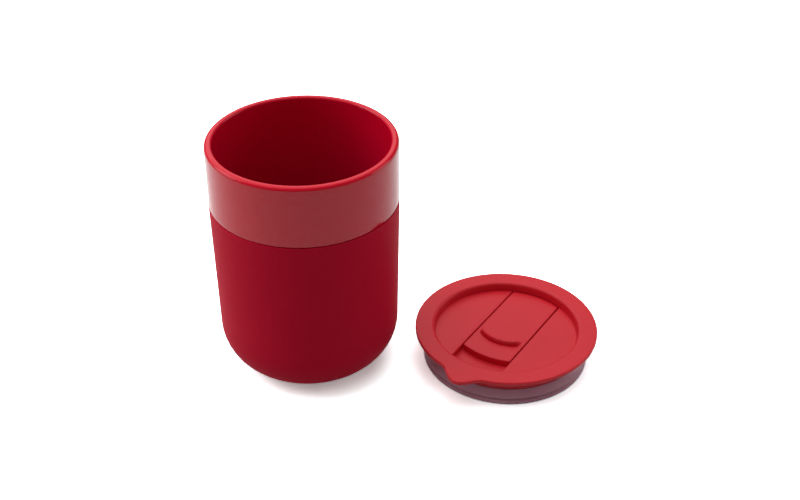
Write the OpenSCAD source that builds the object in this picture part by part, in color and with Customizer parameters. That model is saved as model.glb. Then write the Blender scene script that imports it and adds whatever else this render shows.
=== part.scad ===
// Drinks tumbler: glazed ceramic cup in a silicone sleeve, with a press-in lid that lies beside it.
// Millimetres, +Z up. The origin is the centre of the sleeve's flat foot. +Y is the lid's slide
// direction, from the pull tab towards the back of the lid.

/* [Cup] */
// Overall height of the cup in its sleeve
cup_h = 116; // [100:1:150]
// Outside radius of the glazed band at the rim
cup_r = 43; // [42:0.5:46]
// Radius of the mouth
mouth_r = 39.5; // [39.4:0.1:39.8]
// Height of the glazed band above the sleeve
band_h = 29.6; // [15:0.2:40]
// Depth of the straight part of the mouth, which a lid plugs into
mouth_depth = 20; // [16:1:40]
// Thickness of the ceramic at the bottom
bottom_t = 5; // [4:0.5:8]
// Inside radius just above the round inside bottom
inside_low_r = 38; // [37:0.5:38.5]
// Radius of the round between the inside wall and bottom
inside_round = 18; // [10:1:20]
// Radius of the rounded lip at the rim
lip_round = 1.7; // [1:0.1:1.7]

/* [Sleeve] */
// Thickness of the silicone sleeve
sleeve_t = 2; // [1.5:0.1:2.5]
// Outside radius of the sleeve wall, carried down to the table
sleeve_low_r = 41.8; // [41.5:0.1:43]
// Radius of the round between the sleeve's wall and its foot
foot_round = 22; // [12:1:24]

/* [Lid] */
// Lid centre, measured along X from the cup's centre
lid_x = 81.5; // [81:0.5:150]
// Lid centre, measured along Y from the cup's centre
lid_y = 47.2; // [47:0.2:120]
// Outside radius of the flange
flange_r = 43.5; // [42:0.5:46]
// Height of the flange's top face above the table
flange_top = 16.2; // [16:0.2:18]
// Thickness of the flange at its edge
flange_t = 1.9; // [1.5:0.1:2.5]
// Depth of the sunk deck below the flange's top face
recess_depth = 4; // [3:0.5:5]
// Radius of the recess at the flange's top face
recess_top_r = 35.1; // [34.6:0.1:35.4]
// Radius of the recess at the deck
deck_r = 33.8; // [33:0.1:34]
// How far the pull tab stands out past the flange
tab_reach = 6.2; // [5:0.2:10]
// Half the angle that the pull tab takes up on the flange
tab_half_angle = 15; // [10:0.5:18]

/* [Slide] */
// Width of the slide channel
channel_w = 26; // [20:0.5:30]
// Depth of the channel's floor below the deck
channel_depth = 3.1; // [2.4:0.1:3.2]
// Travel of the slider, from open at the back to shut at the front
travel = 12; // [8:1:12]
// Clearance between the slider and each side of the channel
slide_gap = 0.6; // [0.2:0.05:0.7]
// Clearance between the slider and the channel's ends
end_gap = 0.3; // [0.2:0.05:0.4]
// Width of the drinking hole across the slide
hole_w = 12; // [10:1:14]
// Distance of the drinking hole's straight back edge in front of the lid's centre
hole_back = 28.4; // [27:0.1:28.5]
// Radius of the drinking hole's round front edge about the lid's centre
hole_front_r = 33; // [32:0.1:33]

/* [Hidden] */
$fn = 96;

// Corners cut on a quarter round of an outline
arc_steps = 10;

// Sleeve line and the sleeve's radius there
line_z = cup_h - band_h;
sleeve_top_r = cup_r + 0.1;

// Heights in the lid, from the table up
deck_z = flange_top - recess_depth;
deck_t = 2;
floor_z = deck_z - channel_depth;
floor_t = 1.6;
floor_under = floor_z - floor_t;

// Plug skirt and the seal's groove round it
skirt_r = deck_r + 2.4;
skirt_in = deck_r + 0.8;
neck_r = skirt_r + 1.1;
skirt_z = 0.6;
bead_h = 1.2;
seal_body_r = 38;
seal_top = 7.6;
seal_lip_r = mouth_r - 0.1;

// Slider, flush with the deck when it lies in the channel
slider_w = channel_w - 2 * slide_gap;
slider_end_r = deck_r - end_gap;
float_gap = 0.15;
slider_z = floor_z + float_gap;

// Thumb ridge, an arc across the slider
ridge_r = 16.5;
ridge_w = 3.2;
ridge_h = 2.2;
ridge_mid = -10.5;
ridge_half_angle = 38;

// Post that goes down through the slot, and the washer on it
post_r = 3.2;
slot_r = post_r + 0.5;
post_y = 12;
keeper_r = 7;
keeper_t = 1.2;
keeper_gap = 0.2;

// Pad under the front of the slider, which covers the drinking hole when shut
pad_w = hole_w + 2;
pad_t = 1.2;
pad_back = travel - hole_back + 0.5;
pad_front_r = slider_end_r - 0.3;

// Points on an arc of radius r about [cx, cz], from angle a0 to a1
function arc(cx, cz, r, a0, a1) =
    [for (i = [0 : arc_steps]) let (a = a0 + (a1 - a0) * i / arc_steps) [cx + r * cos(a), cz + r * sin(a)]];

// Half outline of a round-footed vessel: flat foot at z0, round, then a straight wall up to [top_r, top_z]
function vessel(z0, low_r, round_r, top_r, top_z) =
    concat([[0, z0]], arc(low_r - round_r, z0 + round_r, round_r, -90, 0), [[top_r, top_z], [0, top_z]]);

// How far the pull tab stands out at angle a from its middle: a raised-cosine bell
function tab_bell(a) = abs(a) < tab_half_angle ? tab_reach * pow(cos(90 * a / tab_half_angle), 2) : 0;

module at_lid() {
    translate([lid_x, lid_y, 0]) children();
}

module ceramic_cup() {
    floor_top = sleeve_t + bottom_t;
    straight_z = cup_h - mouth_depth;
    color([0.78, 0.05, 0.07])
    difference() {
        union() {
            // Body inside the sleeve
            rotate_extrude()
                polygon(vessel(sleeve_t, sleeve_low_r - sleeve_t, foot_round - sleeve_t,
                    sleeve_top_r - sleeve_t, line_z));
            // Glazed band, with its rounded lip
            rotate_extrude()
                polygon(concat([[0, line_z], [cup_r, line_z]],
                    arc(cup_r - lip_round, cup_h - lip_round, lip_round, 0, 90), [[0, cup_h]]));
        }
        // Inside: round bottom, slightly tapered wall
        rotate_extrude()
            polygon(vessel(floor_top, inside_low_r, inside_round, mouth_r, straight_z + 0.01));
        // Straight mouth
        translate([0, 0, straight_z])
            cylinder(r = mouth_r, h = mouth_depth + 1);
        // Inner round of the lip
        translate([0, 0, cup_h - lip_round])
            rotate_extrude()
                difference() {
                    square([mouth_r + lip_round, lip_round + 1]);
                    translate([mouth_r + lip_round, 0]) circle(r = lip_round);
                }
    }
}

module silicone_sleeve() {
    color([0.55, 0.04, 0.10])
    rotate_extrude()
        difference() {
            polygon(vessel(0, sleeve_low_r, foot_round, sleeve_top_r, line_z));
            polygon(vessel(sleeve_t, sleeve_low_r - sleeve_t, foot_round - sleeve_t,
                sleeve_top_r - sleeve_t, line_z + 0.01));
        }
}

// Flat outline of the flange with its pull tab at the front
module flange_outline() {
    circle(r = flange_r);
    polygon(concat([[0, 0]],
        [for (i = [-12 : 12]) let (a = i * tab_half_angle / 12, r = flange_r + tab_bell(a))
            [r * sin(a), -r * cos(a)]]));
}

module lid_body() {
    color([0.80, 0.09, 0.11])
    at_lid()
    difference() {
        union() {
            translate([0, 0, flange_top - flange_t])
                linear_extrude(height = flange_t) flange_outline();
            // Neck, plug skirt and the bead that keeps the seal on
            translate([0, 0, seal_top])
                cylinder(r = neck_r, h = flange_top - seal_top - 0.5);
            translate([0, 0, skirt_z])
                cylinder(r = skirt_r, h = flange_top - skirt_z - 0.5);
            translate([0, 0, skirt_z])
                cylinder(r = skirt_r + 0.7, h = bead_h);
        }
        // Recess above the deck, its wall leaning out a little
        translate([0, 0, deck_z])
            cylinder(r1 = deck_r, r2 = recess_top_r, h = recess_depth);
        translate([0, 0, flange_top - 0.01])
            cylinder(r = recess_top_r, h = 1);
        // Hollow under the deck, left solid where the channel's trough hangs down
        difference() {
            translate([0, 0, -1])
                cylinder(r = skirt_in, h = deck_z - deck_t + 1);
            translate([-channel_w / 2 - 1.6, -50, floor_under])
                cube([channel_w + 3.2, 100, 20]);
        }
        // Slide channel
        intersection() {
            translate([0, 0, floor_z])
                cylinder(r = deck_r, h = recess_depth + channel_depth);
            translate([-channel_w / 2, -50, floor_z])
                cube([channel_w, 100, 20]);
        }
        // Drinking hole
        intersection() {
            cylinder(r = hole_front_r, h = flange_top);
            translate([-hole_w / 2, -50, 0])
                cube([hole_w, 50 - hole_back, flange_top]);
        }
        // Slot for the slider's post
        for (y = [post_y, post_y - travel])
            translate([0, y, 0]) cylinder(r = slot_r, h = deck_z);
        translate([-slot_r, post_y - travel, 0])
            cube([2 * slot_r, travel, deck_z]);
    }
}

// Disc with a straight edge, tapering in to the seal's body above it
module seal_lip(z, taper, lip_t) {
    translate([0, 0, z])
        cylinder(r = seal_lip_r, h = lip_t);
    translate([0, 0, z + lip_t])
        cylinder(r1 = seal_lip_r, r2 = seal_body_r, h = taper);
}

module lid_seal() {
    lip_t = 1;
    low_taper = 1.4;
    high_lip = 3.2;
    high_taper = 3.2;
    color([0.75, 0.68, 0.72, 0.7])
    at_lid()
    difference() {
        union() {
            translate([0, 0, skirt_z + bead_h])
                cylinder(r = seal_body_r, h = seal_top - skirt_z - bead_h);
            // Low lip that the lid stands on, then a high lip that tapers all the way up
            seal_lip(0, low_taper, lip_t);
            seal_lip(high_lip, high_taper, lip_t);
        }
        translate([0, 0, -1])
            cylinder(r = skirt_r, h = seal_top + 2);
        translate([0, 0, -1])
            cylinder(r = skirt_r + 0.7, h = skirt_z + bead_h + 1);
    }
}

module slider() {
    color([0.80, 0.09, 0.11])
    at_lid()
    difference() {
        union() {
            // Plate, round at both ends to match the recess
            intersection() {
                translate([-slider_w / 2, -50, slider_z])
                    cube([slider_w, 100, deck_z - slider_z]);
                cylinder(r = slider_end_r, h = deck_z);
                translate([0, travel, 0])
                    cylinder(r = slider_end_r, h = deck_z);
            }
            // Thumb ridge
            translate([0, ridge_mid + ridge_r, deck_z])
                rotate([0, 0, -90 - ridge_half_angle])
                    rotate_extrude(angle = 2 * ridge_half_angle)
                        translate([ridge_r - ridge_w, -0.5])
                            polygon([[0, 0], [ridge_w, 0], [ridge_w, 0.5], [ridge_w - 0.5, ridge_h + 0.5],
                                [ridge_w - 1.4, ridge_h + 0.5], [0, 0.9]]);
            // Post through the slot
            translate([0, post_y, floor_under - keeper_gap - keeper_t])
                cylinder(r = post_r, h = slider_z - floor_under + keeper_gap + keeper_t + 0.5);
        }
        // Pocket for the pad
        translate([0, 0, slider_z - 1]) pad_block(pad_t + 1);
    }
}

// Pad's outline, straight at the back and round at the front like the drinking hole
module pad_block(h) {
    intersection() {
        translate([0, travel, 0]) cylinder(r = pad_front_r, h = h);
        translate([-pad_w / 2, -50, 0]) cube([pad_w, 50 + pad_back, h]);
    }
}

module slider_pad() {
    color([0.75, 0.68, 0.72])
    at_lid()
    translate([0, 0, slider_z]) pad_block(pad_t);
}

module slider_keeper() {
    color([0.80, 0.09, 0.11])
    at_lid()
    translate([0, post_y, floor_under - keeper_gap - keeper_t])
        difference() {
            cylinder(r = keeper_r, h = keeper_t);
            translate([0, 0, -1]) cylinder(r = post_r, h = keeper_t + 2);
        }
}

ceramic_cup();
silicone_sleeve();
lid_body();
lid_seal();
slider();
slider_pad();
slider_keeper();
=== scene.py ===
# %% [markdown]
# # A drinks tumbler with a sliding lid
# The object is a glazed ceramic cup in a silicone sleeve, and a press-in plastic lid that lies beside it.
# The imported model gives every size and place. This lesson rebuilds the visible pieces as smooth surfaces
# with small rounded edges, because a moulded or glazed edge is what catches the light, and gives each one
# its own finish.

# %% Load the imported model
from math import radians

import bmesh
import bpy
import numpy as np
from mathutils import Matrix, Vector


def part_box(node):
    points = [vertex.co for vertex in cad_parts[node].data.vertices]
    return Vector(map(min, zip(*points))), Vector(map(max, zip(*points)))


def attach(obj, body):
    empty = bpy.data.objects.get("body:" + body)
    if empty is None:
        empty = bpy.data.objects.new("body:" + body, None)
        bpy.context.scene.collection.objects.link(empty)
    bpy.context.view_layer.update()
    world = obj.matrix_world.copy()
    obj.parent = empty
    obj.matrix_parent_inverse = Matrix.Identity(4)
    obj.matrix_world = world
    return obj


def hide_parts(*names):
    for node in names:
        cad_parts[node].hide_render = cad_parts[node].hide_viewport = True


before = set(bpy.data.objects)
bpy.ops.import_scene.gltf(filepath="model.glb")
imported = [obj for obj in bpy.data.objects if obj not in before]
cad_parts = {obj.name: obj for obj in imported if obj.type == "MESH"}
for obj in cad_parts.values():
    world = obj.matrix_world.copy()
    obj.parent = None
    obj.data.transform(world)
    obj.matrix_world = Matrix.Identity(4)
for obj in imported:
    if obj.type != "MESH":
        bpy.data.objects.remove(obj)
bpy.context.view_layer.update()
MM = 0.001

# %% [markdown]
# ## Driving sizes
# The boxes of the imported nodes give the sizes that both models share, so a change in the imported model
# carries over. Sizes that no box shows, such as wall thicknesses, are named where they are used. All of
# them are in millimetres.

# %% Sizes from the frame
def node_box(name):
    """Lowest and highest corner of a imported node, in millimetres."""
    low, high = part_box(name)
    return np.array(low) / MM, np.array(high) / MM


sleeve_low, sleeve_high = node_box("silicone_sleeve")
cup_high = node_box("ceramic_cup")[1]
lid_low, lid_high = node_box("lid_body")
seal_low, seal_high = node_box("lid_seal")
slider_low, slider_high = node_box("slider")
pad_low, pad_high = node_box("slider_pad")
keeper_low, keeper_high = node_box("slider_keeper")

CUP_H = cup_high[2]
SLEEVE_R = (sleeve_high[0] - sleeve_low[0]) / 2
CUP_R = SLEEVE_R - 0.1
LINE_Z = sleeve_high[2]
LID_CENTRE = (seal_low[:2] + seal_high[:2]) / 2
FLANGE_TOP = lid_high[2]
FLANGE_R = (lid_high[0] - lid_low[0]) / 2
TAB_REACH = LID_CENTRE[1] - FLANGE_R - lid_low[1]
SEAL_R = (seal_high[0] - seal_low[0]) / 2
SLIDER_W = slider_high[0] - slider_low[0]
print("cup", CUP_H.round(2), CUP_R.round(2))
print("lid centre", LID_CENTRE.round(2), "tab", TAB_REACH.round(2))

# %% [markdown]
# ## The camera
# The view is from above the front right of the lid, a bit over a third of a right angle up. It is set
# first, so that every later step is judged in the same picture. The studio helper gives places as this
# camera sees them: to its right, away from it, and up.

# %% Camera
VIEW_TURN = radians(32.3)
VIEW_DROP = radians(33.85)
LENS = 57.8
SENSOR = 36
RIGHT = Vector((np.cos(VIEW_TURN), np.sin(VIEW_TURN), 0))
AWAY = Vector((-np.sin(VIEW_TURN), np.cos(VIEW_TURN), 0))
UP = Vector((0, 0, 1))


def studio(right, away, up):
    """A point so many metres to the camera's right, away from it and up, counted from the cup's foot."""
    return right * RIGHT + away * AWAY + up * UP


CAMERA_PLACE = studio(0.0432, -0.4955, 0.3894)
camera_data = bpy.data.cameras.new("product_camera")
camera_data.lens = LENS
camera_data.sensor_width = SENSOR
camera = bpy.data.objects.new("product_camera", camera_data)
camera.location = CAMERA_PLACE
camera.rotation_euler = (radians(90) - VIEW_DROP, 0, VIEW_TURN)
bpy.context.scene.collection.objects.link(camera)
bpy.context.scene.camera = camera

# %% [markdown]
# ## Shader maths as plain expressions
# A node graph is easier to read as arithmetic. This small class wraps a socket, so that adding or
# multiplying two of them adds a Math node.

# %% Shader helper
class Sock:
    """A shader socket that understands + and * with numbers or other sockets."""

    def __init__(self, graph, socket):
        self.graph = graph
        self.socket = socket

    def maths(self, operation, first, second):
        node = self.graph.node("ShaderNodeMath", {"operation": operation}, {0: first, 1: second})
        return node.out(0)

    def __add__(self, other):
        return self.maths("ADD", self, other)

    def __mul__(self, other):
        return self.maths("MULTIPLY", self, other)

    __radd__ = __add__
    __rmul__ = __mul__


class Node:
    """A node whose outputs come back as Sock."""

    def __init__(self, graph, node):
        self.graph = graph
        self.node = node

    def out(self, key):
        return Sock(self.graph, self.node.outputs[key])


class Graph:
    """A material's node tree, cleared and ready to be written as expressions."""

    def __init__(self, name):
        self.material = bpy.data.materials.new(name)
        self.material.use_nodes = True
        self.tree = self.material.node_tree
        self.tree.nodes.clear()

    def node(self, kind, settings=None, inputs=None):
        """Adds a node, sets its settings, then fills its sockets with values or links."""
        node = self.tree.nodes.new(kind)
        for key, value in (settings or {}).items():
            setattr(node, key, value)
        for key, value in (inputs or {}).items():
            if isinstance(value, Sock):
                self.tree.links.new(value.socket, node.inputs[key])
            else:
                node.inputs[key].default_value = value
        return Node(self, node)

    def noise(self, size_mm, detail=2.0):
        """Noise with features about size_mm across, from 0 to 1, on the piece's own coordinates."""
        place = self.node("ShaderNodeTexCoord").out("Object")
        inputs = {"Vector": place, "Scale": 1 / (size_mm * MM), "Detail": detail}
        return self.node("ShaderNodeTexNoise", None, inputs).out(0)

    def ramp(self, value, start, end):
        """0 where value is start, 1 where it is end, straight between and held beyond."""
        inputs = {"Value": value, "From Min": start, "From Max": end}
        return self.node("ShaderNodeMapRange", {"clamp": True}, inputs).out(0)

    def mix(self, factor, first, second):
        """Colour between first and second."""
        node = self.node("ShaderNodeMix", {"data_type": "RGBA"}, {0: factor, 6: first, 7: second})
        return node.out(2)

    def bump(self, height, depth_mm):
        """A bump whose full height is depth_mm."""
        inputs = {"Height": height, "Distance": depth_mm * MM}
        return self.node("ShaderNodeBump", None, inputs).out(0)

    def surface(self, inputs):
        """Ends the graph in a Principled shader."""
        shader = self.node("ShaderNodeBsdfPrincipled", None, inputs).out(0)
        self.node("ShaderNodeOutputMaterial", None, {"Surface": shader})
        return self.material


# %% [markdown]
# ## Shaping tools
# Turned pieces come from a half outline carried round the axis. The outline is written as corners, each
# with the radius of its rounding, and long straight stretches are divided so that the mesh stays even.
# Flat pieces such as the deck and the slider are two matching grids, top and bottom, joined round their
# edge and round any hole.

# %% Outlines
ARC_STEPS = 8


def rounded(corners, steps=ARC_STEPS):
    """A polyline through corners (r, z, radius): each corner becomes an arc tangent to both its sides."""
    points = []
    count = len(corners)
    for k, (r, z, radius) in enumerate(corners):
        here = np.array([r, z], float)
        if radius == 0:
            points.append(here)
            continue
        back = np.array(corners[(k - 1) % count][:2], float) - here
        ahead = np.array(corners[(k + 1) % count][:2], float) - here
        back = back / np.linalg.norm(back)
        ahead = ahead / np.linalg.norm(ahead)
        half = np.arccos(np.clip(back @ ahead, -1, 1)) / 2
        middle = (back + ahead) / np.linalg.norm(back + ahead)
        centre = here + middle * radius / np.sin(half)
        start = here + back * radius / np.tan(half) - centre
        end = here + ahead * radius / np.tan(half) - centre
        span = np.arccos(np.clip(start @ end / radius**2, -1, 1))
        for t in np.linspace(0, 1, steps + 1):
            points.append(centre + (np.sin((1 - t) * span) * start + np.sin(t * span) * end) / np.sin(span))
    return np.array(points)


def divided(points, step, closed=False):
    """The same polyline with no stretch longer than step."""
    ends = np.vstack([points, points[:1]]) if closed else points
    result = []
    for a, b in zip(ends[:-1], ends[1:]):
        parts = max(1, int(np.ceil(np.linalg.norm(b - a) / step)))
        result.append(a + (b - a) * np.arange(parts)[:, None] / parts)
    if not closed:
        result.append(ends[-1:])
    return np.vstack(result)


# %% Meshes
def grid_faces(rows, columns, wrap_rows, wrap_columns):
    """Quads of a grid of rows x columns vertices, numbered row by row."""
    i = np.arange(rows if wrap_rows else rows - 1)
    j = np.arange(columns if wrap_columns else columns - 1)
    i, j = [a.ravel() for a in np.meshgrid(i, j, indexing="ij")]
    i2, j2 = (i + 1) % rows, (j + 1) % columns
    return np.stack([i * columns + j, i * columns + j2, i2 * columns + j2, i2 * columns + j], 1)


def build_mesh(name, verts, faces, sharp=40):
    """A mesh object from points in millimetres: seams welded, normals outwards, shaded smooth."""
    mesh = bpy.data.meshes.new(name)
    mesh.from_pydata((np.asarray(verts) * MM).tolist(), [], np.asarray(faces).tolist())
    shape = bmesh.new()
    shape.from_mesh(mesh)
    bmesh.ops.remove_doubles(shape, verts=shape.verts, dist=2e-6)
    bmesh.ops.recalc_face_normals(shape, faces=shape.faces)
    loose = sum(not e.is_manifold for e in shape.edges)
    shape.to_mesh(mesh)
    shape.free()
    mesh.shade_smooth()
    mesh.set_sharp_from_angle(angle=radians(sharp))
    piece = bpy.data.objects.new(name, mesh)
    bpy.context.scene.collection.objects.link(piece)
    print(name, len(mesh.vertices), "points", len(mesh.polygons), "faces", loose, "open edges")
    return piece


def turned(outline, sides, centre=(0, 0), closed=False, reshape=None):
    """Points and faces of an outline (r, z) carried round: x = r cos a, y = r sin a."""
    angle = np.arange(sides) * 2 * np.pi / sides
    r = np.repeat(outline[:, :1], sides, 1)
    z = np.repeat(outline[:, 1:], sides, 1)
    a = np.repeat(angle[None], len(outline), 0)
    if reshape is not None:
        r, z = reshape(r, z, a)
    points = np.stack([centre[0] + r * np.cos(a), centre[1] + r * np.sin(a), z], 2).reshape(-1, 3)
    return points, grid_faces(len(outline), sides, closed, True)


def joined(*parts):
    """Several (points, faces) pairs as one."""
    verts, faces, start = [], [], 0
    for points, quads in parts:
        verts.append(points)
        faces.append(np.asarray(quads) + start)
        start += len(points)
    return np.vstack(verts), np.vstack(faces)


def slab(top, bottom, open_cells=None):
    """A closed plate from two grids of the same shape (n, m, 3), walled round its edge and its holes."""
    rows, columns = top.shape[:2]
    solid = np.ones((rows - 1, columns - 1), bool)
    if open_cells is not None:
        solid &= ~open_cells
    quads = grid_faces(rows, columns, False, False)[solid.ravel()]
    under = rows * columns
    ringed = np.pad(solid, 1)
    i, j = np.nonzero(ringed[1:-1, 1:] != ringed[1:-1, :-1])
    along_rows = np.stack([i * columns + j, (i + 1) * columns + j], 1)
    k, m = np.nonzero(ringed[1:, 1:-1] != ringed[:-1, 1:-1])
    along_columns = np.stack([k * columns + m, k * columns + m + 1], 1)
    edges = np.vstack([along_rows, along_columns])
    walls = np.stack([edges[:, 0], edges[:, 1], edges[:, 1] + under, edges[:, 0] + under], 1)
    points = np.vstack([top.reshape(-1, 3), bottom.reshape(-1, 3)])
    return points, np.vstack([quads, quads[:, ::-1] + under, walls])


# %% [markdown]
# ## The ceramic cup
# A slip-cast cup has an even wall, a fully rounded lip and a large round inside the bottom. One outline
# turned about the axis makes it. The lower wall steps in by the sleeve's thickness, so that the sleeve
# lies flush with the bare glazed band. The glaze is never dead flat, so the wall wanders by a few
# hundredths of a millimetre, which softens the reflections a little.

# %% Cup
WALL = 3.5
SLEEVE_T = 2.0
MOUTH_R = CUP_R - WALL
SLEEVE_TAPER = 1.3
SLEEVE_LOW_R = SLEEVE_R - SLEEVE_TAPER
FOOT_ROUND = 22.0
SKIN_GAP = 0.05
FOOT_GAP = 0.03
BODY_LOW_R = SLEEVE_LOW_R - SLEEVE_T
BAND_Z = LINE_Z + 0.3
BAND_ROUND = 0.55
LIP_OUTSIDE = 1.72
LIP_INSIDE = 1.1
STRAIGHT_MOUTH = 20
MOUTH_BEND = 30
INSIDE_LOW_R = BODY_LOW_R - 1.8
INSIDE_ROUND = 18
BOTTOM_T = 5.0
BOTTOM_TOP = SLEEVE_T + BOTTOM_T


def glaze_flow(r, z, a):
    """Radius plus a slow wander: two shallow waves that wind up the wall and fade out near the axis."""
    wander = 0.03 * np.sin(3 * a + z / 17) + 0.02 * np.sin(7 * a - z / 9 + 1)
    return r + wander * np.clip(r / 20 - 1, 0, 1), z


cup_outline = rounded([
    (0, SLEEVE_T + FOOT_GAP, 0),
    (BODY_LOW_R - SKIN_GAP, SLEEVE_T + FOOT_GAP, FOOT_ROUND - SLEEVE_T),
    (SLEEVE_R - SLEEVE_T - SKIN_GAP, BAND_Z, 0),
    (CUP_R, BAND_Z, BAND_ROUND),
    (CUP_R, CUP_H, LIP_OUTSIDE),
    (MOUTH_R, CUP_H, LIP_INSIDE),
    (MOUTH_R, CUP_H - STRAIGHT_MOUTH, MOUTH_BEND),
    (INSIDE_LOW_R, BOTTOM_TOP, INSIDE_ROUND),
    (0, BOTTOM_TOP, 0),
], steps=12)
cup = build_mesh("glazed_cup", *turned(divided(cup_outline, 3.0), 240, reshape=glaze_flow))

# %% [markdown]
# ## The silicone sleeve
# The sleeve is a moulded boot: an even skin with a soft top edge, a big round at the foot and a flat disc
# to stand on.

# %% Sleeve
TOP_EDGE_OUTSIDE = 0.5
TOP_EDGE_INSIDE = 0.3
sleeve_outline = rounded([
    (0, 0, 0),
    (SLEEVE_LOW_R, 0, FOOT_ROUND),
    (SLEEVE_R, LINE_Z, TOP_EDGE_OUTSIDE),
    (SLEEVE_R - SLEEVE_T, LINE_Z, TOP_EDGE_INSIDE),
    (BODY_LOW_R, SLEEVE_T, FOOT_ROUND - SLEEVE_T),
    (0, SLEEVE_T, 0),
], steps=14)
sleeve = build_mesh("sleeve_boot", *turned(divided(sleeve_outline, 3.0), 240))

# %% [markdown]
# ## The lid
# The lid is one moulding. Its round parts, from the recess wall over the flange and down the plug skirt,
# are one closed ring turned about the lid's axis. The pull tab is that ring's edge drawn out by a
# raised-cosine bell, so it grows out of the flange with no seam. The deck with its slide channel is a slab
# of two grids, whose edge is buried in the ring.

# %% Lid ring with its pull tab
RECESS_DEPTH = 4.0
CHANNEL_DEPTH = 3.1
FLOOR_T = 1.6
FLANGE_T = 1.9
DECK_Z = FLANGE_TOP - RECESS_DEPTH
FLOOR_Z = DECK_Z - CHANNEL_DEPTH
FLOOR_UNDER = FLOOR_Z - FLOOR_T
DECK_R = 33.8
RECESS_R = 35.1
RECESS_BROW = 1.5
SKIRT_R = DECK_R + 2.4
SKIRT_IN = DECK_R + 0.8
SKIRT_Z = lid_low[2]
LEDGE_R = SKIRT_R + 0.7
LEDGE_Z = SKIRT_Z + 1.2
NECK_R = SKIRT_R + 1.1
SEAL_TOP = seal_high[2]
TAB_HALF = radians(15)
TAB_ROOT = 38.0
TAB_FULL_R = FLANGE_R - 1.0


def draw_tab(r, z, a):
    """Points beyond the root radius move out by a cos squared bell, in full by the flange's edge."""
    turn = np.abs((a + np.pi / 2 + np.pi) % (2 * np.pi) - np.pi)
    bell = TAB_REACH * np.cos(np.pi / 2 * np.clip(turn / TAB_HALF, 0, 1)) ** 2
    share = np.clip((r - TAB_ROOT) / (TAB_FULL_R - TAB_ROOT), 0, 1)
    return r + bell * share, z


ring_outline = rounded([
    (SKIRT_IN, SKIRT_Z, 0.3),
    (LEDGE_R, SKIRT_Z, 0.3),
    (LEDGE_R, LEDGE_Z, 0.2),
    (SKIRT_R, LEDGE_Z, 0),
    (SKIRT_R, SEAL_TOP, 0),
    (NECK_R, SEAL_TOP, 0.2),
    (NECK_R, FLANGE_TOP - FLANGE_T, 0.4),
    (FLANGE_R, FLANGE_TOP - FLANGE_T, 0.45),
    (FLANGE_R, FLANGE_TOP, 0.6),
    (RECESS_R - 0.6, FLANGE_TOP, RECESS_BROW),
    (DECK_R, DECK_Z, 0),
    (DECK_R, FLOOR_UNDER, 0),
    (SKIRT_IN, FLOOR_UNDER, 0),
], steps=6)
lid_ring = turned(divided(ring_outline, 1.6, closed=True), 400, LID_CENTRE, closed=True, reshape=draw_tab)

# %% [markdown]
# The slab's grid lines run along the channel. Across it, they stay straight in the middle and bend to the
# recess's circle at both ends, and one of them follows the round front edge of the drinking hole, so the
# hole and the slot for the slider's post fall exactly on grid cells.

# %% Deck, channel and holes
CHANNEL_HALF = 13.0
CHANNEL_WALL = 1.6
CHANNEL_BROW = 0.45
FLAT_STOPS_SHORT = 0.4
DECK_T = 2
HOLE_HALF = 6.0
HOLE_BACK = -28.4
HOLE_FRONT_R = 33.0
SLOT_HALF = 3.7
SLOT_ENDS = (-3.7, 15.7)
REAR_LINE = 27
BURIED = 0.4
PLATE_R = DECK_R + BURIED
BEND_WIDTH = 8


def cross_section(levels, half, edge_in, edge_out):
    """A section across the deck, the same both ways from its middle: floor, rounded step up, deck."""
    low, high = levels
    floor_x = np.concatenate([
        np.linspace(0, SLOT_HALF, 5),
        np.linspace(SLOT_HALF, HOLE_HALF, 4)[1:],
        np.linspace(HOLE_HALF, CHANNEL_HALF - FLAT_STOPS_SHORT, 6)[1:],
    ])
    quarter = np.linspace(0, np.pi / 2, 5)
    foot = np.stack([half - edge_in + edge_in * np.sin(quarter), low + edge_in * (1 - np.cos(quarter))], 1)
    brow = np.stack([half + edge_out * (1 - np.cos(quarter)), high - edge_out * (1 - np.sin(quarter))], 1)
    deck_x = half + edge_out + (PLATE_R - half - edge_out) * np.sin(np.linspace(0, np.pi / 2, 17)[1:])
    floor = np.stack([floor_x, np.full_like(floor_x, low)], 1)
    deck = np.stack([deck_x, np.full_like(deck_x, high)], 1)
    right = np.vstack([floor, foot, brow, deck])
    left = right[:0:-1] * [-1, 1]
    return np.vstack([left, right])


def along_slide(x):
    """Where the grid lines cross the slide at each x: arcs at the ends, straight lines between."""
    wall = np.sqrt(np.clip(PLATE_R**2 - np.clip(np.abs(x), 0, CHANNEL_HALF) ** 2, 0, None))
    arc = np.sqrt(HOLE_FRONT_R**2 - np.clip(np.abs(x), 0, CHANNEL_HALF) ** 2)
    flat = np.ones_like(x)
    lines = [HOLE_BACK * flat, SLOT_ENDS[0] * flat, SLOT_ENDS[1] * flat, REAR_LINE * flat]
    marks = [-wall, -arc] + lines + [wall]
    counts = [2, 5, 8, 8, 6, 5]
    pieces = [a[:, None] + (b - a)[:, None] * np.arange(n) / n for a, b, n in zip(marks, marks[1:], counts)]
    inner = np.hstack(pieces + [wall[:, None]])
    reach = np.sqrt(np.clip(PLATE_R**2 - x**2, 0, None))[:, None]
    spread = inner / wall[:, None] * reach
    share = np.clip((np.abs(x) - CHANNEL_HALF) / BEND_WIDTH, 0, 1)[:, None]
    return inner * (1 - share) + spread * share


def deck_grid(section):
    """Grid of the section carried along the slide."""
    y = along_slide(section[:, 0])
    x = np.repeat(section[:, :1], y.shape[1], 1)
    z = np.repeat(section[:, 1:], y.shape[1], 1)
    return np.stack([x + LID_CENTRE[0], y + LID_CENTRE[1], z], 2)


def cells_between(along, low, high):
    """Which grid cells have their middle between low and high."""
    return (along > low) & (along < high)


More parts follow.
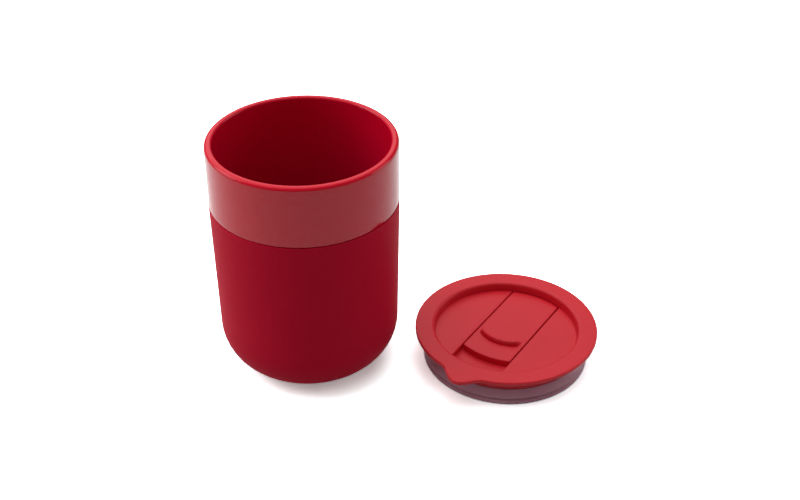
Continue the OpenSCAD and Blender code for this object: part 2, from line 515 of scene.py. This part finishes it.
top_section = cross_section((FLOOR_Z, DECK_Z), CHANNEL_HALF, 0.3, CHANNEL_BROW)
under_section = cross_section((FLOOR_UNDER, DECK_Z - DECK_T), CHANNEL_HALF + CHANNEL_WALL, 0.5, 0.3)
deck_top = deck_grid(top_section)
deck_under = deck_grid(under_section)
cell_x = (top_section[1:, 0] + top_section[:-1, 0]) / 2
middle_y = deck_top[len(top_section) // 2, :, 1] - LID_CENTRE[1]
cell_y = (middle_y[1:] + middle_y[:-1]) / 2
hole_cells = (np.abs(cell_x) < HOLE_HALF)[:, None] & cells_between(cell_y, -HOLE_FRONT_R, HOLE_BACK)[None]
slot_cells = (np.abs(cell_x) < SLOT_HALF)[:, None] & cells_between(cell_y, *SLOT_ENDS)[None]
deck = slab(deck_top, deck_under, hole_cells | slot_cells)
lid = build_mesh("lid_shell", *joined(lid_ring, deck), sharp=35)

# %% [markdown]
# ## The seal
# The seal is a soft cloudy ring with two lips. The upper lip is a cone that widens downwards to a rounded
# edge, with an undercut beneath it, and the lower one is a short lip that touches the table. An outline
# turned about the lid's axis gives both.

# %% Seal ring
SEAL_FIT = 0.05
LOW_LIP_TOP = 1.6
UNDERCUT = (2.5, 3.1)
UNDERCUT_R = SEAL_R - 1.6
HIGH_LIP = (3.3, 4.3)
CONE_TOP_R = SEAL_R - 1.7
seal_outline = rounded([
    (LEDGE_R + SEAL_FIT, 0.0, 0.2),
    (SEAL_R - 0.15, 0.0, 0.35),
    (SEAL_R, LOW_LIP_TOP, 0.7),
    (UNDERCUT_R, UNDERCUT[0], 0.3),
    (UNDERCUT_R, UNDERCUT[1], 0.3),
    (SEAL_R, HIGH_LIP[0], 0.4),
    (SEAL_R, HIGH_LIP[1], 0.6),
    (CONE_TOP_R, SEAL_TOP, 0.4),
    (SKIRT_R + SEAL_FIT, SEAL_TOP, 0),
    (SKIRT_R + SEAL_FIT, LEDGE_Z + SEAL_FIT, 0),
    (LEDGE_R + SEAL_FIT, LEDGE_Z + SEAL_FIT, 0),
], steps=6)
seal_turned = turned(divided(seal_outline, 1.5, closed=True), 300, LID_CENTRE, closed=True)
seal = build_mesh("seal_ring", *seal_turned)

# %% [markdown]
# ## The slider
# The slider is a flat tongue, round at both ends to match the recess, with a crescent ridge for the
# thumb. Its top is a grid whose lines follow the ridge's arc, so that the steep front of the ridge stays
# crisp. The rounded edge is a few extra grid lines that step in and up on a quarter circle.

# %% Slider sizes and ridge
SLIDER_HALF = SLIDER_W / 2
END_GAP = 0.3
SLIDER_END_R = DECK_R - END_GAP
TRAVEL = 12.0
SLIDER_Z = pad_low[2]
SLIDER_EDGE = 0.4
RIDGE_R = 16.5
RIDGE_CENTRE = 6.0
RIDGE_H = slider_high[2] - DECK_Z
RIDGE_RUN = 3.2
RIDGE_HALF = 10.4
RIDGE_CREST = 1.3
RIDGE_END = 1.5
RIDGE_FULLNESS = 0.6
quarter = np.linspace(0, np.pi / 2, 5)
EDGE_IN = SLIDER_EDGE * (1 - np.cos(quarter))
EDGE_DROP = SLIDER_EDGE * (1 - np.sin(quarter))


def ridge_height(behind, x):
    """Ridge height: a quarter ellipse up at the front, a full cosine down at the back, round ends."""
    front = np.sqrt(np.clip(1 - (1 - np.clip(behind / RIDGE_CREST, 0, 1)) ** 2, 0, 1))
    down = np.clip((behind - RIDGE_CREST) / (RIDGE_RUN - RIDGE_CREST), 0, 1)
    back = np.cos(np.pi / 2 * down) ** RIDGE_FULLNESS
    ends = np.sqrt(np.clip(1 - np.clip((np.abs(x) - RIDGE_HALF + RIDGE_END) / RIDGE_END, 0, 1) ** 2, 0, 1))
    return RIDGE_H * front * back * ends


# %% [markdown]
# Across the slider, the grid lines are closest at its rounded edges and beside the pad's pocket. Along it,
# they follow the front arc, the pocket's back, the ridge and the rear arc, in that order.

# %% Slider grid, with its ridge and the pad's pocket
PAD_HALF = (pad_high[0] - pad_low[0]) / 2
PAD_BACK = pad_high[1] - LID_CENTRE[1]
PAD_TOP = pad_high[2]
STEP = 0.01
inner_x = np.linspace(-SLIDER_HALF + SLIDER_EDGE, SLIDER_HALF - SLIDER_EDGE, 71)[1:-1]
pocket_sides = np.array([-PAD_HALF - STEP, -PAD_HALF, PAD_HALF, PAD_HALF + STEP])
inner_x = np.sort(np.concatenate([inner_x, pocket_sides]))
slider_x = np.concatenate([-SLIDER_HALF + EDGE_IN, inner_x, SLIDER_HALF - EDGE_IN[::-1]])
side_drop = np.concatenate([EDGE_DROP, np.zeros(len(inner_x)), EDGE_DROP[::-1]])
arc_front = TRAVEL - np.sqrt(SLIDER_END_R**2 - slider_x**2)
arc_rear = np.sqrt(SLIDER_END_R**2 - slider_x**2)
ridge_foot = RIDGE_CENTRE - np.sqrt(RIDGE_R**2 - slider_x**2)
crest_steps = RIDGE_CREST * (1 - np.cos(np.linspace(0, np.pi / 2, 11)))
ridge_steps = np.concatenate([crest_steps, np.linspace(RIDGE_CREST, RIDGE_RUN, 12)[1:]])
front_lines = arc_front[:, None] + EDGE_IN
rear_lines = arc_rear[:, None] - EDGE_IN[::-1]
ridge_lines = ridge_foot[:, None] + ridge_steps
pocket_lines = front_lines[:, -1:] + np.array([STEP])
pocket_back = np.repeat([[PAD_BACK, PAD_BACK + STEP]], len(slider_x), 0)
fore = np.linspace(0, 1, 6)[1:-1]
aft = np.linspace(0, 1, 26)[1:-1]
slider_y = np.hstack([
    front_lines,
    pocket_lines,
    pocket_lines + (pocket_back[:, :1] - pocket_lines) * fore,
    pocket_back,
    pocket_back[:, 1:] + (ridge_lines[:, :1] - pocket_back[:, 1:]) * fore,
    ridge_lines,
    ridge_lines[:, -1:] + (rear_lines[:, :1] - ridge_lines[:, -1:]) * aft,
    rear_lines,
])
end_drop = np.zeros(slider_y.shape[1])
end_drop[:len(EDGE_DROP)] = EDGE_DROP
end_drop[-len(EDGE_DROP):] = EDGE_DROP[::-1]
slider_x_grid = np.repeat(slider_x[:, None], slider_y.shape[1], 1)
behind = slider_y - ridge_foot[:, None]
slider_top_z = DECK_Z + ridge_height(behind, slider_x_grid) - np.maximum(side_drop[:, None], end_drop)
slider_top = np.stack([slider_x_grid + LID_CENTRE[0], slider_y + LID_CENTRE[1], slider_top_z], 2)
slider_under = slider_top.copy()
in_pocket = (np.abs(slider_x_grid) < PAD_HALF + STEP / 2) & (slider_y < PAD_BACK + STEP / 2)
in_pocket &= slider_y > pocket_lines - STEP / 2
slider_under[..., 2] = np.where(in_pocket, PAD_TOP, SLIDER_Z)

# %% Slider's post
POST_R = 3.2
POST_CENTRE = (keeper_low[:2] + keeper_high[:2]) / 2
POST_COVER = 0.6
POST_TOP = DECK_Z - POST_COVER
post_outline = rounded([
    (0, keeper_low[2], 0), (POST_R, keeper_low[2], 0.3), (POST_R, POST_TOP, 0), (0, POST_TOP, 0),
])
post = turned(post_outline, 64, POST_CENTRE)
slider = build_mesh("thumb_slider", *joined(slab(slider_top, slider_under), post), sharp=50)

# %% [markdown]
# ## Finishes
# The glaze is glossy and deep red: a sharp reflection with a faint orange peel. The sleeve is matte
# silicone, which has a slight dusty sheen at grazing angles and a very fine grain. The lid is moulded
# plastic with a fine spark-eroded texture, and the seal is cloudy clear silicone. Each finish drifts a
# little between two colours.

# %% Finish colours
GLAZE_REDS = (0.60, 0.001, 0.016, 1), (0.66, 0.002, 0.020, 1)
# Painted shade: the darker red that the inside of the cup takes towards its bottom.
GLAZE_PAINTED_SHADE = (0.42, 0.001, 0.034, 1)
SLEEVE_REDS = (0.51, 0.0014, 0.022, 1), (0.55, 0.0020, 0.026, 1)
SLEEVE_DUST = (1, 0.7, 0.75, 1)
LID_REDS = (0.575, 0.006, 0.017, 1), (0.625, 0.008, 0.021, 1)
KEEPER_REDS = (0.42, 0.02, 0.03, 1), (0.46, 0.024, 0.034, 1)
CLEAR_PINKS = (0.63, 0.29, 0.38, 1), (0.70, 0.35, 0.44, 1)
# Where the painted shade inside the cup begins, and over what height it deepens towards the bottom.
INSIDE_STARTS_R = MOUTH_R + 1.5
PAINTED_SHADE_TOP = CUP_H - 4
PAINTED_SHADE_DEEP = CUP_H - 70

# %% Glaze
def glaze_finish():
    """Glossy red glaze, with painted shade inside the cup that darkens it towards the bottom."""
    g = Graph("red_glaze")
    place = g.node("ShaderNodeTexCoord").out("Object")
    height = g.node("ShaderNodeSeparateXYZ", None, {0: place}).out("Z")
    from_axis = g.node("ShaderNodeVectorMath", {"operation": "MULTIPLY"}, {0: place, 1: (1, 1, 0)}).out(0)
    radius = g.node("ShaderNodeVectorMath", {"operation": "LENGTH"}, {0: from_axis}).out("Value")
    inside = g.ramp(radius, INSIDE_STARTS_R * MM, MOUTH_R * MM)
    depth = g.ramp(height, PAINTED_SHADE_TOP * MM, PAINTED_SHADE_DEEP * MM)
    bright = g.mix(g.noise(28), *GLAZE_REDS)
    # Painted shade: the inside wall is mixed towards the darker red, more so further down.
    colour = g.mix(inside * (depth * 0.75 + 0.25), bright, GLAZE_PAINTED_SHADE)
    rough = g.noise(6, 3.0) * 0.04 + 0.035
    peel = g.bump(g.noise(3.5, 1.0), 0.012)
    return g.surface({
        "Base Color": colour, "Roughness": rough, "Normal": peel, "IOR": 1.5, "Specular IOR Level": 0.27,
    })

# %% Sleeve silicone
def sleeve_finish():
    """Matte silicone: deep red, a little dusty at the edges, with fine grain."""
    g = Graph("sleeve_silicone_red")
    colour = g.mix(g.noise(22, 3.0), *SLEEVE_REDS)
    rough = g.noise(1.2) * 0.12 + 0.62
    grain = g.bump(g.noise(0.35, 3.0), 0.02)
    return g.surface({
        "Base Color": colour, "Roughness": rough, "Normal": grain, "IOR": 1.41, "Specular IOR Level": 0.14,
        "Sheen Weight": 0.03, "Sheen Roughness": 0.35, "Sheen Tint": SLEEVE_DUST,
    })

# %% Moulded plastic
def plastic_finish(name, reds):
    """Satin moulded plastic with a fine even texture."""
    g = Graph(name)
    colour = g.mix(g.noise(18), *reds)
    rough = g.noise(0.8) * 0.12 + 0.40
    grain = g.bump(g.noise(0.4), 0.02)
    return g.surface({
        "Base Color": colour, "Roughness": rough, "Normal": grain, "IOR": 1.49, "Specular IOR Level": 0.36,
    })

# %% Clear silicone
def clear_silicone(name, transmission):
    """Cloudy clear silicone."""
    g = Graph(name)
    colour = g.mix(g.noise(9), *CLEAR_PINKS)
    rough = g.noise(2) * 0.1 + 0.28
    return g.surface({
        "Base Color": colour, "Roughness": rough, "IOR": 1.41, "Transmission Weight": transmission,
        "Subsurface Weight": 0.4, "Subsurface Radius": (1, 0.6, 0.7), "Subsurface Scale": 0.002,
    })

# %% Finishes on their pieces
cup.data.materials.append(glaze_finish())
sleeve.data.materials.append(sleeve_finish())
lid.data.materials.append(plastic_finish("lid_plastic_red", LID_REDS))
slider.data.materials.append(plastic_finish("slider_plastic_red", LID_REDS))
seal.data.materials.append(clear_silicone("seal_silicone_clear", 0.15))

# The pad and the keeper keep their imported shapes, and only take a finish.
for node_name, finish in (
    ("slider_pad", clear_silicone("pad_silicone_clear", 0.2)),
    ("slider_keeper", plastic_finish("keeper_plastic_red", KEEPER_REDS)),
):
    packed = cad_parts[node_name]
    packed.data.materials.clear()
    packed.data.materials.append(finish)
for piece in (cup, sleeve, lid, seal, slider):
    print(piece.name, "wears", piece.data.materials[0].name)

# %% [markdown]
# ## Bodies
# Each piece rides on the imported body that it belongs to, and its imported node is hidden in its place.
# The slot names listed with them are not used here.

# %% Ride and replace
for piece, body, node_name, slot in (
    (cup, "cup", "ceramic_cup", "glaze"),
    (sleeve, "cup", "silicone_sleeve", "sleeve_silicone"),
    (lid, "lid", "lid_body", "lid_plastic"),
    (seal, "lid", "lid_seal", "seal_silicone"),
    (slider, "slider", "slider", "slider_plastic"),
):
    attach(piece, body)
    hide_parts(node_name)

# %% [markdown]
# ## Studio
# A plain white floor under two wide ceiling lights: one set back and to the left that the glaze mirrors,
# and a fill nearer overhead that it doesn't. A small key stands on the left and a smaller rim light on the
# right. The floor is shown overexposed, as a light table is, so that only the contact shadows stay on it.
# What it throws back on to the object is that of a grey floor, or the shaded walls would wash out. In the
# same way, the surround is white to the camera and dim to everything else.

# %% Floor
FLOOR_SIZE = 5.0
FLOOR_DROP = 0.0002
FLOOR_BOUNCE = 0.38
FLOOR_SHOWN = 0.84
FLOOR_EXPOSURES = 3
FLOOR_GLOW = 0.2
FLOOR_MIRRORED = 0.38
RED_BALANCE = 0.91
floor_mesh = bpy.data.meshes.new("studio_floor")
corner = FLOOR_SIZE / 2
floor_outline = [(-corner, -corner), (corner, -corner), (corner, corner), (-corner, corner)]
floor_mesh.from_pydata([(x, y, -FLOOR_DROP) for x, y in floor_outline], [], [(0, 1, 2, 3)])
floor = bpy.data.objects.new("studio_floor", floor_mesh)
bpy.context.scene.collection.objects.link(floor)


def card(graph, value, red=1.0):
    """A diffuse shader of one grey. Its red can be turned down to cancel what the cup throws on it."""
    return graph.node("ShaderNodeBsdfDiffuse", None, {"Color": (value * red, value, value, 1)}).out(0)


def floor_finish():
    """White floor: a light table to the camera, dimmer in reflections, grey card to everything else."""
    g = Graph("floor_white")
    table = g.node("ShaderNodeEmission", None, {"Color": (1, 1, 1, 1), "Strength": FLOOR_GLOW}).out(0)
    for _ in range(FLOOR_EXPOSURES):
        table = g.node("ShaderNodeAddShader", None, {0: table, 1: card(g, FLOOR_SHOWN, RED_BALANCE)}).out(0)
    path = g.node("ShaderNodeLightPath")
    seen = path.out("Is Camera Ray") + path.out("Is Glossy Ray") * FLOOR_MIRRORED
    both = g.node("ShaderNodeMixShader", None, {0: seen, 1: card(g, FLOOR_BOUNCE), 2: table})
    g.node("ShaderNodeOutputMaterial", None, {"Surface": both.out(0)})
    return g.material


floor.data.materials.append(floor_finish())
print("floor", FLOOR_SIZE, "m square")

# %% Lights
LIGHT_AIM = Vector((0.03, 0.02, 0.05))


def soft_light(name, place, size, power, mirrored=True):
    """A square softbox that faces the object. One that isn't mirrored leaves no highlight."""
    data = bpy.data.lights.new(name, "AREA")
    data.size = size
    data.energy = power
    light = bpy.data.objects.new(name, data)
    light.location = place
    light.visible_glossy = mirrored
    light.rotation_euler = (LIGHT_AIM - light.location).to_track_quat("-Z", "Y").to_euler()
    bpy.context.scene.collection.objects.link(light)
    print(name, size, "m", power, "W")


soft_light("ceiling_softbox", studio(-0.5, 0.9, 1.9), 3.4, 40)
soft_light("ceiling_fill", studio(-0.3, 0.3, 1.8), 3.4, 25, mirrored=False)
soft_light("key_softbox", studio(-1.3, 0.1, 0.8), 0.9, 7)
soft_light("rim_softbox", studio(1.4, 0.3, 0.5), 0.8, 3.2)

# %% Surround
SURROUND_DIM = 0.2
SURROUND_SHOWN = 1.0
world = bpy.data.worlds.new("studio_surround")
world.use_nodes = True
sky = world.node_tree
background = sky.nodes["Background"]
background.inputs["Color"].default_value = (1, 1, 1, 1)
sky_path = sky.nodes.new("ShaderNodeLightPath")
sky_strength = sky.nodes.new("ShaderNodeMath")
sky_strength.operation = "MULTIPLY_ADD"
sky_strength.inputs[1].default_value = SURROUND_SHOWN - SURROUND_DIM
sky_strength.inputs[2].default_value = SURROUND_DIM
sky.links.new(sky_path.outputs["Is Camera Ray"], sky_strength.inputs[0])
sky.links.new(sky_strength.outputs[0], background.inputs["Strength"])
bpy.context.scene.world = world
bpy.context.scene.view_settings.view_transform = "Standard"
